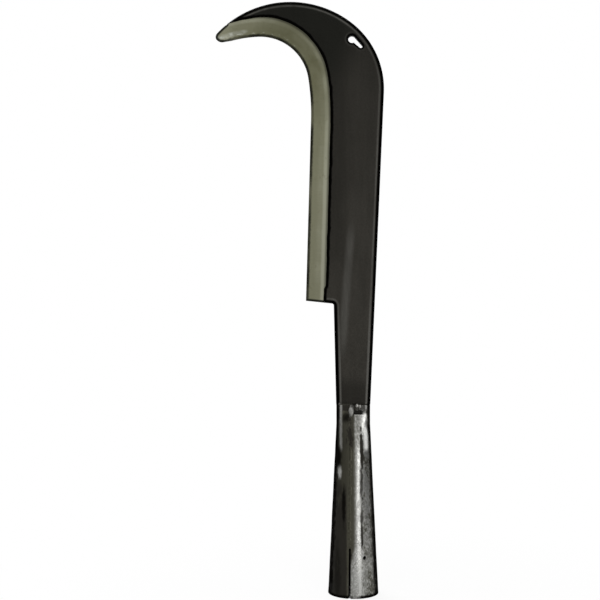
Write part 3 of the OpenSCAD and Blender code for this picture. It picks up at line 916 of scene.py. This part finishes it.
def sheet_finish(f, name):
    """Sheet steel under mill scale, bare on one side of the seam, with marks along the roll, painted shade
    on the left leaf and the far sides, and painted highlights on the front.
    """
    m = Finish(name)
    wrap, roll = m.read("wrap", "roll", out="Vector")
    side, inside = m.read("side", "inside")
    turned, height = wrap.axis("X"), wrap.axis("Y")
    blot = roll.grain((0.16, 0.035, 0.16), 5, 0.6, 1)
    streak = roll.grain((0.75, 0.03, 0.75), 4, 0.6, 2)
    fleck = roll.grain((0.8, 0.5, 0.8), 4, 0.65, 3)
    mottle = roll.grain((0.42, 0.22, 0.42), 4, 0.6, 4)
    patch = roll.grain((0.17, 0.11, 0.17), 3, 0.6, 9)
    stray, facing, front = mottle - 0.5, side.fade(140, 110), side.fade(90, 80)

    def spots(table):
        """The strongest of some spots with ragged rims."""
        found = []
        for share, x, y, wide, tall in table:
            off = wrap.vector("SUBTRACT", (x, y, 0))
            far = off.vector("MULTIPLY", (1 / wide, 1 / tall, 0)).size()
            found.append(share * facing * (far + 1.3 * stray).fade(1.15, 0.35))
        return found[0].most(*found[1:])

    # A thin skin of scale on the left of the seam and in patches; on the left leaf it is partly painted
    # shade, and on the far sides it is painted shade
    ragged = turned + 1.6 * (fleck - 0.5) + 1.2 * stray
    around = side + 26 * stray + 24 * (blot - 0.5)
    left = (ragged - height.fade(13, 45, -3.4, 1.3)).fade(2.2, -2.2) * around.fade(165, 108)
    far_side_shade = (side + 10 * stray).fade(44, 60) * around.fade(128, 100)
    stained = mottle.fade(0.48, 0.66) * height.fade(118, 106, 0.2, 0.65)
    dulled_and_shade = left.most(
        far_side_shade, stained * turned.band(4, 3, 1, 0.5),
        patch.fade(0.42, 0.55, 0, 0.9) * abs(turned).fade(5, 8) * height.fade(112, 104),
        0.6 * turned.band(3.6, 5.5) * height.fade(106, 120),
        abs(turned - 3.2).fade(2, 6) * height.fade(70, 35, 0, 0.55),
    )
    base = m.tint(dulled_and_shade, f.sheet, f.sheet_olive)
    # Darker still: scale on the left, a ragged dark line on the right of the seam, blots and the collar
    # above the slot, with painted shade on the far sides
    low = height.fade(104, 72) * ragged.fade(-4, -7.6)
    crust_and_shade = left * (0.1 + 0.9 * low + 0.45 * height.fade(104, 116)) * blot.fade(0.24, 0.46)
    crust_and_shade = crust_and_shade + spots(DARK_LINE) + (blot + 0.35 * fleck).fade(0.74, 0.88)
    crust_and_shade = (crust_and_shade + 0.8 * height.fade(140.4, 141.6)).fade(0.2, 0.95)
    crust_and_shade = crust_and_shade.most(far_side_shade * mottle.fade(0.38, 0.52, 0.55, 1))
    # Painted highlights on the crown's right corner, on narrow bands at the crown's sides and in spots
    across = m.place.axis("X") * (1 / MM) + 1.4 * stray
    corner = (across + height.fade(113, 136, -0.35, 0.7)).band(9, 2.5) * height.fade(140.3, 137.3)
    corner = (corner * (1 - 0.8 * height.band(131.5, 6.5))).most(
        0.25 * across.band(-9.9, 1.7), 0.22 * across.band(9.7, 1.7) * height.fade(141, 143),
    )
    rubbed = (1.35 * corner).least(1) * (height + 3 * stray).fade(109, 113.5) * front
    rubbed = rubbed.most(spots(HIGHLIGHT_SPOTS))
    crust_and_shade = crust_and_shade.least(1 - 0.9 * rubbed).most(inside)
    base = m.tint(crust_and_shade, base, f.sheet_scale)
    base = m.tint(rubbed, base, SHEET_HIGHLIGHT)
    # Bright flecks and a painted highlight strip near the mouth; darker at the mouth's rim and in spots,
    # with painted shade on the sides and at the slot's end
    bright = (fleck + 0.4 * mottle).fade(0.66, 0.84) * (1 - left)
    bright = bright.most(turned.band(4.5, 1.8) * height.fade(44, 24)) * (1 - crust_and_shade)
    base = m.tint(0.5 * bright, base, SHEET_BRIGHT)
    black = (height + 1.5 * stray).fade(2.9, 1.6) * turned.band(0.5, 5.5, 1, 0.2)
    black = black.most(
        patch.fade(0.45, 0.62, 0.95, 0.7) * around.fade(53, 64) * around.fade(104, 86),
        0.9 * across.band(10, 1.6) * height.band(139.6, 1.7) * front, spots(DARK_SPOTS),
    )
    base = m.tint(black * (1 - rubbed), base, SHEET_DARK_AND_SHADE)
    metal = 1 - (0.65 * crust_and_shade * (1 - black)).most(0.85 * rubbed)
    rough = height.fade(30, 65, 0.25, 0.30) + 0.16 * dulled_and_shade + 0.18 * crust_and_shade
    rough = rough + 0.16 * (streak - 0.5) + 0.16 * stray
    return m.skin(
        0.3 * fleck + 0.3 * streak + 0.4 * mottle, 0.11 * MM, Base_Color=base, Metallic=metal,
        Roughness=rough, Specular_IOR_Level=0.3, Specular_Tint=SHEET_SHINE,
    )


def weld_finish(f):
    """Weld metal under a burnt skin, paler where it stands proud in front: bare metal with a painted
    highlight on the tack weld.
    """
    m = Finish("crown_weld")
    burn = m.place.grain(180, 4, 0.6, 1)
    pit = m.place.grain(1100, 3, 0.6, 2)
    proud = m.place.axis("Y").fade(-6.6 * MM, -7.8 * MM)
    burnt = (burn - 0.22 * proud).fade(0.20, 0.48)
    base = m.tint(burnt, f.weld, f.weld_burnt)
    rough = 0.38 + 0.2 * burnt + 0.2 * (pit - 0.5)
    return m.skin(
        0.6 * burn + 0.4 * pit, 0.2 * MM, Base_Color=base, Metallic=1, Roughness=rough,
        Specular_Tint=WELD_SHINE,
    )


# Welds

def weld_tree(material):
    """A tree that lays overlapping drops of weld along a path, and the identifiers of its inputs."""
    tree = bpy.data.node_groups.new("Weld run", "GeometryNodeTree")
    inputs = {}
    for name, kind in WELD_INPUTS.items():
        socket = tree.interface.new_socket(name=name, in_out="INPUT", socket_type=f"NodeSocket{kind}")
        inputs[name] = socket.identifier
    tree.interface.new_socket(name="weld", in_out="OUTPUT", socket_type="NodeSocketGeometry")
    b = Bench(tree)
    size = {name: b.add("NodeGroupInput", out=name) for name in inputs}
    path = b.add("GeometryNodeMeshToCurve", sockets={"Mesh": size["path"]})
    path = b.add("GeometryNodeResampleCurve", {"mode": "LENGTH"}, {"Curve": path, "Length": size["spacing"]})
    swell = b.add("GeometryNodeInputNamedAttribute", {"data_type": "FLOAT"}, {"Name": "swell"})
    chance = b.add(
        "FunctionNodeRandomValue", {"data_type": "FLOAT"},
        {2: 1 - size["uneven"], 3: 1 + size["uneven"], "Seed": size["seed"]}, out=1,
    )
    grown = swell * chance
    drop = b.add("ShaderNodeCombineXYZ", sockets={
        "X": 0.5 * size["width"] * grown, "Y": size["height"] * grown, "Z": 0.5 * size["drop"] * grown,
    })
    ahead = b.add("GeometryNodeInputTangent")
    turned = b.add("FunctionNodeAlignRotationToVector", {"axis": "Z"}, {"Vector": ahead})
    turned = b.add(
        "FunctionNodeAlignRotationToVector", {"axis": "Y", "pivot_axis": "Z"},
        {"Rotation": turned, "Vector": size["outward"]},
    )
    ball = b.add("GeometryNodeMeshIcoSphere", sockets={"Radius": 1, "Subdivisions": 4})
    drops = b.add(
        "GeometryNodeInstanceOnPoints",
        sockets={"Points": path, "Instance": ball, "Rotation": turned, "Scale": drop},
    )
    whole = b.add("GeometryNodeRealizeInstances", sockets={"Geometry": drops})
    whole = b.add("GeometryNodeSetMaterial", sockets={"Geometry": whole, "Material": material})
    b.add("NodeGroupOutput", sockets={"weld": whole})
    return tree, inputs


def lay_weld(name, points, swell, material, voxel, **sizes):
    """A weld along a path, which swells at its points, fused into one skin."""
    obj = new_object(name, points, [], [(i, i + 1) for i in range(len(points) - 1)])
    mark(obj, swell=swell)
    nodes = obj.modifiers.new("Weld run", "NODES")
    nodes.node_group, inputs = weld_tree(material)
    for key, value in sizes.items():
        nodes[inputs[key]] = value
    nodes[inputs["uneven"]] = WELD_UNEVEN
    fuse = obj.modifiers.new("Fuse", "REMESH")
    fuse.mode, fuse.voxel_size, fuse.use_smooth_shade = "VOXEL", voxel, True
    flow = obj.modifiers.new("Flow", "SMOOTH")
    flow.factor, flow.iterations = 0.5, 3
    finished(obj)
    if not obj.data.polygons:
        raise RuntimeError(f"{name} came out empty")
    obj.data.shade_smooth()
    return obj


# Operators

class BILLHOOK_OT_blade(bpy.types.Operator):
    """Build the forged body of the blade with its neck, tang and hanging hole"""

    bl_idname = "billhook.blade"
    bl_label = "Blade Body"

    def execute(self, context):
        s = context.scene.billhook
        b, d = s.blade, Drawing(s.socket, s.blade)
        hole = np.vstack((d.hole, d.hole[:1]))
        tang_t, spare = b.neck_t - 2 * b.tang_gap, (b.neck_t - b.blade_t) / 2

        def from_crease(p):
            """How far points lie to the right of the rib's crease, and above the crown."""
            rise = p[:, 1] - d.crown
            return (p[:, 0] + b.crease_x) * math.cos(b.crease_lean) - rise * math.sin(b.crease_lean), rise

        def half(p):
            """How far the two faces lie from the middle."""
            right, rise = from_crease(p)
            taper = b.neck_t / 2 - spare * rise / b.rib_len
            flank = b.neck_t / 2 + spare * np.minimum(right, 0) / b.flank_w
            whole = -soft_min(-soft_min(taper, flank, RIB_BLEND), -b.blade_t / 2, FACE_BLEND)
            whole = np.where(rise < -TANG_SEAT, tang_t / 2, whole)
            spine = b.spine_flat / 2 + gap_to(p, d.back)[0]
            rounds = (d.side, b.side_round), (hole, HOLE_ROUND), (d.shoulder, LIP_ROUND)
            rounds = [(gap_to(p, path)[0], r) for path, r in rounds]
            sides = []
            for seed in (1.7, 5.2):
                uneven = 0.75 * ripple(p, 24 * MM, seed) + 0.25 * ripple(p, 7 * MM, seed + 1)
                face = soft_min(whole + b.wave * uneven * (rise > 0), spine, RIB_BLEND)
                for gap, r in rounds:
                    face = rounded(face, gap, r)
                sides.append(face)
            return sides

        verts, faces, p, ring = plate(d.body_loops(), BODY_STEP, BODY_RINGS, half)
        obj = new_object("blade_forging", verts, faces)
        border = np.minimum(gap_to(p, d.body_back)[0], gap_to(p, d.side[d.side[:, 1] > d.crown])[0])
        right, rise = from_crease(p)
        mark_plate(
            obj, ring, rim=border, lip=gap_to(p, d.shoulder)[0], eye=gap_to(p, hole)[0],
            ridge=right + b.flank_w * rise / b.rib_len,
        )
        mark(obj, wall=np.arange(len(verts)) >= 2 * len(p))
        smooth(obj, 40)
        settle(obj, forged_finish(s.finish), "forged_iron", "blade_body")
        return {"FINISHED"}


class BILLHOOK_OT_edge(bpy.types.Operator):
    """Build the ground steel edge, from the heel round the hook to the tip"""

    bl_idname = "billhook.edge"
    bl_label = "Ground Edge"

    def execute(self, context):
        s = context.scene.billhook
        b, d = s.blade, Drawing(s.socket, s.blade)

        def half(p):
            """How far the two faces lie from the middle."""
            gap, lip = gap_to(p, d.edge_past)[0], gap_to(p, d.shoulder)[0]
            whole = (b.edge_land + (b.blade_t - b.edge_land) * gap / b.bevel_w) / 2
            brow = b.spine_flat / 2 + gap_to(p, d.back)[0]
            sides = []
            for seed in (2.3, 6.4):
                uneven = GRIND_WAVE * ripple(p, 17 * MM, seed) * smooth_step(0, 4 * MM, gap)
                face = rounded(soft_min(whole + uneven, brow, FACE_BLEND), lip, EDGE_ROUND)
                sides.append(np.maximum(face, LEAST_HALF))
            return sides

        verts, faces, p, ring = plate(d.steel_loops(), EDGE_STEP, EDGE_RINGS, half)
        obj = new_object("edge_grind", verts, faces)
        across, along = gap_to(p, d.edge_past)
        heel = np.vstack((d.heel, d.shoulder[0]))
        border = np.min([gap_to(p, path)[0] for path in (d.nose_back, d.tip, heel)], 0)
        mark_plate(obj, ring, across=across, along=along, rim=border)
        smooth(obj, 30)
        settle(obj, ground_finish(s.finish), "ground_steel", "edge_steel")
        return {"FINISHED"}


class BILLHOOK_OT_socket(bpy.types.Operator):
    """Build the rolled socket with its seam, its slot and its nail hole"""

    bl_idname = "billhook.socket"
    bl_label = "Socket"

    def execute(self, context):
        settings = context.scene.billhook
        s, form = settings.socket, SocketForm(settings.socket, settings.blade.neck_t)
        slot_z = s.socket_len - s.slot_drop
        slot_top = slot_z + s.slot_h
        stops = zip((0, slot_z, slot_top), (slot_z, slot_top, s.socket_len), SOCKET_ROWS)
        z = np.concatenate(([0], *(np.linspace(*stop)[1:] for stop in stops)))
        z = np.broadcast_to(z, (SOCKET_COLUMNS, len(z))).copy()
        t = np.linspace(0, 1, len(z))[:, None]
        lip = (s.seam_mouth + (s.seam_top - s.seam_mouth) * z / s.socket_len) / 2 / form.cone(z)
        a = lip - s.seam_angle + t * (2 * math.pi - 2 * lip)
        present = np.ones((z.shape[0] - 1, z.shape[1] - 1), bool)
        self.cut_nail_hole(s, form, a, z, present)
        mid_a, mid_z = (a[:-1, :-1] + a[1:, 1:]) / 2, (z[:-1, :-1] + z[1:, 1:]) / 2
        in_slot = (mid_a < math.pi / 2) & (form.at(mid_a, mid_z)[..., 0] < s.slot_x)
        present &= ~(in_slot & (mid_z > slot_z) & (mid_z < slot_top))
        for height, seed in ((slot_z, 3.3), (slot_top, 6.1)):
            frayed = np.isclose(z, height) & (a < FRAY_END)
            z[frayed] += FRAY * ripple(np.stack((a[frayed], 0 * a[frayed]), 1), 0.22, seed)
        around = np.stack((np.sin(a), np.cos(a), z / DENT_SIZE), -1).reshape(-1, 3)
        dents, knocks = (
            np.array([noise.noise(Vector(p) * scale + Vector(shift)) for p in around]).reshape(a.shape)
            for scale, shift in ((1.35, (0, 0, 0)), (3.7, (7, 3, 1)))
        )
        sunk = s.dent * (0.65 + 0.65 * dents + 0.35 * knocks) * smooth_step(0, 5 * MM, z)
        lap = SEAM_LAP * smooth_step(LAP_WIDTH, 0, (2 * math.pi - s.seam_angle - a) * form.cone(z))
        sunk = np.maximum(sunk, 0) + lap
        verts, faces, used = shell(form.at(a, z, sunk), form.at(a, z, sunk + s.socket_wall), present)
        obj = new_object("socket_roll", verts, faces)
        wrap, roll, side = form.marks(a.ravel(), z.ravel())
        both = used % a.size
        mark(obj, wrap=wrap[both], roll=roll[both], side=side[both], inside=(used >= a.size).astype(float))
        worn = obj.modifiers.new("Worn corners", "BEVEL")
        worn.width, worn.segments, worn.limit_method = s.rim_round, 2, "ANGLE"
        worn.angle_limit = math.radians(50)
        finished(obj)
        smooth(obj, 45)
        settle(obj, sheet_finish(settings.finish, "socket_sheet"), "socket_steel", "socket")
        return {"FINISHED"}

    def cut_nail_hole(self, s, form, a, z, present):
        """Moves the grid's rings round the nail hole on to circles, and leaves its cells out."""
        r, reach, hole = form.cone(s.nail_z), 7, 2
        near = (a - s.nail_angle) ** 2 * r * r + (z - s.nail_z) ** 2
        ic, jc = np.unravel_index(near.argmin(), near.shape)
        for p in range(-reach, reach + 1):
            for q in range(-reach, reach + 1):
                ring = max(abs(p), abs(q))
                share = smooth_step(reach, 3, ring)
                i, j = ic + p, jc + q
                if ring == 0 or share == 0 or not (0 <= i < a.shape[0] and 0 <= j < a.shape[1]):
                    continue
                far = s.nail_r * ring / hole / math.hypot(p, q)
                a[i, j] += share * (s.nail_angle + p * far / r - a[i, j])
                z[i, j] += share * (s.nail_z + q * far - z[i, j])
        present[ic - hole:ic + hole, jc - hole:jc + hole] = False


class BILLHOOK_OT_crown_welds(bpy.types.Operator):
    """Build the welds between the neck and the socket's crown"""

    bl_idname = "billhook.crown_welds"
    bl_label = "Crown Welds"

    def execute(self, context):
        settings = context.scene.billhook
        s, w = settings.socket, settings.weld
        form = SocketForm(s, settings.blade.neck_t)
        face, crown, leg, r = settings.blade.neck_t / 2, s.socket_len, w.fillet_leg, w.lump_r
        seam_x = -form.crown_half * math.tan(s.seam_angle)
        material = weld_finish(settings.finish)
        common = {"material": material, "voxel": w.voxel, "spacing": 1.4 * MM}

        def corner_run(name, end, count, side, seed):
            """A fillet from the left end of the crown, on its front (-1) or its back (1)."""
            xs = np.linspace(-w.fillet_half, end, count)
            sway = WELD_SWAY * ripple(xs, 4 * MM, seed)
            points = [(x, side * (face + 0.2 * leg), crown + 0.1 * leg + y) for x, y in zip(xs, sway)]
            lean = (0.0, side * math.sqrt(0.5), math.sqrt(0.5))
            return lay_weld(
                name, points, np.full(count, 0.85), outward=lean, seed=seed,
                width=2.1 * leg, height=0.42 * leg, drop=2.8 * MM, **common,
            )

        obj = corner_run("front_bead", seam_x, 12, -1, w.seed)
        settle(obj, material, "weld_metal", "front_weld")
        x, y, z = seam_x + w.lump_x, -form.crown_half, crown - r / 3
        tack = [(x - 1.1 * MM, y, z + 0.5 * MM), (x, y - 0.1 * MM, z), (x + 1.2 * MM, y, z - 0.3 * MM)]
        obj = lay_weld(
            "tack_bead", tack, (0.9, 1.1, 0.8), outward=(0.0, -1.0, 0.0), seed=w.seed + 1,
            width=1.5 * r, height=0.5 * r, drop=1.4 * r, **common,
        )
        settle(obj, material, "weld_metal", "tack_weld")
        obj = corner_run("back_bead", w.fillet_half, 24, 1, w.seed + 2)
        settle(obj, material, "weld_metal", "back_weld")
        return {"FINISHED"}


class BILLHOOK_OT_seam_weld(bpy.types.Operator):
    """Build the low bead that closes the upper part of the seam"""

    bl_idname = "billhook.seam_weld"
    bl_label = "Seam Weld"

    def execute(self, context):
        settings = context.scene.billhook
        s, w = settings.socket, settings.weld
        form = SocketForm(s, settings.blade.neck_t)
        top, depth = s.socket_len - s.slot_drop + s.slot_h, 0.9 * MM
        z = np.linspace(w.bead_z, top, 64)
        sway = WELD_SWAY * ripple(z, 11 * MM, 3.0)
        lump = smooth_step(top - 5 * MM, top - 2 * MM, z)
        a = -s.seam_angle + (sway - LUMP_SHIFT * lump) / form.cone(z)
        points = form.at(a, z, (1 - lump) * (0.65 * s.dent + depth - w.bead_h))
        swell = 1 + 0.15 * ripple(z, 8 * MM, 6.0) + 0.55 * lump
        swell[:4] *= (0.55, 0.7, 0.85, 0.95)
        material = sheet_finish(settings.finish, "seam_weld")
        obj = lay_weld(
            "seam_bead", points, swell, material, w.voxel, seed=w.seed + 3,
            outward=(-math.sin(s.seam_angle), -math.cos(s.seam_angle), 0.0),
            width=w.bead_w, height=depth, drop=3.0 * MM, spacing=1.5 * MM,
        )
        places = np.array([v.co for v in obj.data.vertices])
        wrap, roll, side = form.marks(np.arctan2(places[:, 0], -places[:, 1]), places[:, 2])
        mark(obj, wrap=wrap, roll=roll, side=side, inside=np.zeros(len(side)))
        settle(obj, material, "weld_metal", "seam_weld")
        return {"FINISHED"}


class BILLHOOK_OT_stage(bpy.types.Operator):
    """Set the floor, the soft light, the white surroundings and the camera"""

    bl_idname = "billhook.stage"
    bl_label = "Stage"

    def execute(self, context):
        scene, settings = context.scene, context.scene.billhook
        st = settings.stage
        scene.view_settings.view_transform = "Standard"
        self.lay_floor(settings)
        self.light_world(scene)
        for name, (place, wide, tall) in SOFT_BOXES.items():
            lamp = bpy.data.lights.new(name, "AREA")
            lamp.shape, lamp.size, lamp.size_y = "RECTANGLE", wide, tall
            lamp.energy = getattr(st, f"{name}_power")
            way = Vector(SOFT_BOX_AIM) - Vector(place)
            self.place(scene, name, lamp, place, way.to_track_quat("-Z", "Y").to_euler())
        camera = bpy.data.cameras.new("camera")
        camera.lens, camera.sensor_width = st.lens, 36.0
        where = (st.camera_x, -st.camera_gap, st.camera_z)
        scene.camera = self.place(scene, "camera", camera, where, (math.pi / 2, 0.0, 0.0))
        return {"FINISHED"}

    def place(self, scene, name, data, where, turned):
        """A lamp or a camera in its place."""
        obj = bpy.data.objects.new(name, data)
        obj.location, obj.rotation_euler = where, turned
        scene.collection.objects.link(obj)
        return obj

    def lay_floor(self, settings):
        """A round floor that is white to the camera and keeps the object's shadow near it."""
        r, count, colour = settings.stage.floor_r, 96, settings.finish.floor
        a = np.linspace(0, 2 * math.pi, count, endpoint=False)
        ring = np.stack((r * np.cos(a), r * np.sin(a), np.full(count, -FLOOR_DROP)), 1)
        floor = new_object("floor", ring, [tuple(range(count))])
        m = Finish("floor_paper")
        far = m.place.size()
        weave = m.place.grain(300, 3, 0.6, 0)
        paper = m.tint(weave.fade(0.3, 0.7), [0.97 * c for c in colour], colour)
        matt = m.add("ShaderNodeBsdfDiffuse", sockets={"Color": paper})
        white = m.add("ShaderNodeEmission", sockets={"Color": (1, 1, 1), "Strength": 1})
        camera, mirrored = m.rays()
        near = far.fade(0.0165, 0.0195) * far.fade(0.06, 0.30, 0.88, 1)
        share = (camera * near).most(mirrored * far.fade(0.18, 0.31))
        both = m.add("ShaderNodeMixShader", sockets={0: share, 1: matt, 2: white})
        m.add("ShaderNodeOutputMaterial", sockets={"Surface": both})
        floor.data.materials.append(m.material)

    def light_world(self, scene):
        """White behind the object, dim at its sides and grey in front; the camera sees white all round."""
        world = bpy.data.worlds.new("studio")
        world.use_nodes = True
        scene.world = world
        b = Bench(world.node_tree)
        way = b.add("ShaderNodeTexCoord", out="Generated")
        x, y, z = (way.axis(k) for k in "XYZ")
        behind = y.fade(0.955, 0.99)
        front = y.fade(-0.35, -0.80) * z.fade(-0.75, -0.15, 0.2, 1)
        sides = x.fade(0.55, 0.90, 0, 0.12) + x.fade(-0.70, -0.95, 0, 0.25)
        room = 0.05 + 0.40 * front + 0.55 * z.fade(0.45, 0.85) + sides
        camera, mirrored = b.rays()
        strength = camera.most(mirrored * behind, room, behind)
        lit = b.add("ShaderNodeBackground", sockets={"Color": (1, 1, 1), "Strength": strength})
        b.add("ShaderNodeOutputWorld", sockets={"Surface": lit})


class BILLHOOK_PT_panel(bpy.types.Panel):
    """Sizes, colours and pieces of the billhook head"""

    bl_label = "Billhook Head"
    bl_idname = "BILLHOOK_PT_panel"
    bl_space_type = "VIEW_3D"
    bl_region_type = "UI"
    bl_category = "Billhook"

    def draw(self, context):
        for operator in OPERATORS:
            self.layout.operator(operator.bl_idname)
        settings = context.scene.billhook
        for entry in self.own(settings):
            sizes, box = getattr(settings, entry.identifier), self.layout.box()
            box.label(text=entry.name)
            for size in self.own(sizes):
                box.prop(sizes, size.identifier)

    def own(self, settings):
        """The settings of a group, without the two that every group has."""
        return [p for p in settings.bl_rna.properties if p.identifier not in ("rna_type", "name")]


OPERATORS = (
    BILLHOOK_OT_stage, BILLHOOK_OT_blade, BILLHOOK_OT_edge, BILLHOOK_OT_socket,
    BILLHOOK_OT_crown_welds, BILLHOOK_OT_seam_weld,
)
CLASSES = (
    SocketSizes, BladeSizes, WeldSizes, FinishColours, StageSizes, BillhookSettings,
    *OPERATORS, BILLHOOK_PT_panel,
)


def register():
    for cls in CLASSES:
        bpy.utils.register_class(cls)
    bpy.types.Scene.billhook = group("Billhook", BillhookSettings)


def unregister():
    del bpy.types.Scene.billhook
    for cls in reversed(CLASSES):
        bpy.utils.unregister_class(cls)


def main():
    """Builds the head piece by piece."""
    register()
    bpy.ops.billhook.stage()
    bpy.ops.billhook.blade()
    bpy.ops.billhook.edge()
    bpy.ops.billhook.socket()
    bpy.ops.billhook.crown_welds()
    bpy.ops.billhook.seam_weld()


if __name__ == "__main__":
    main()
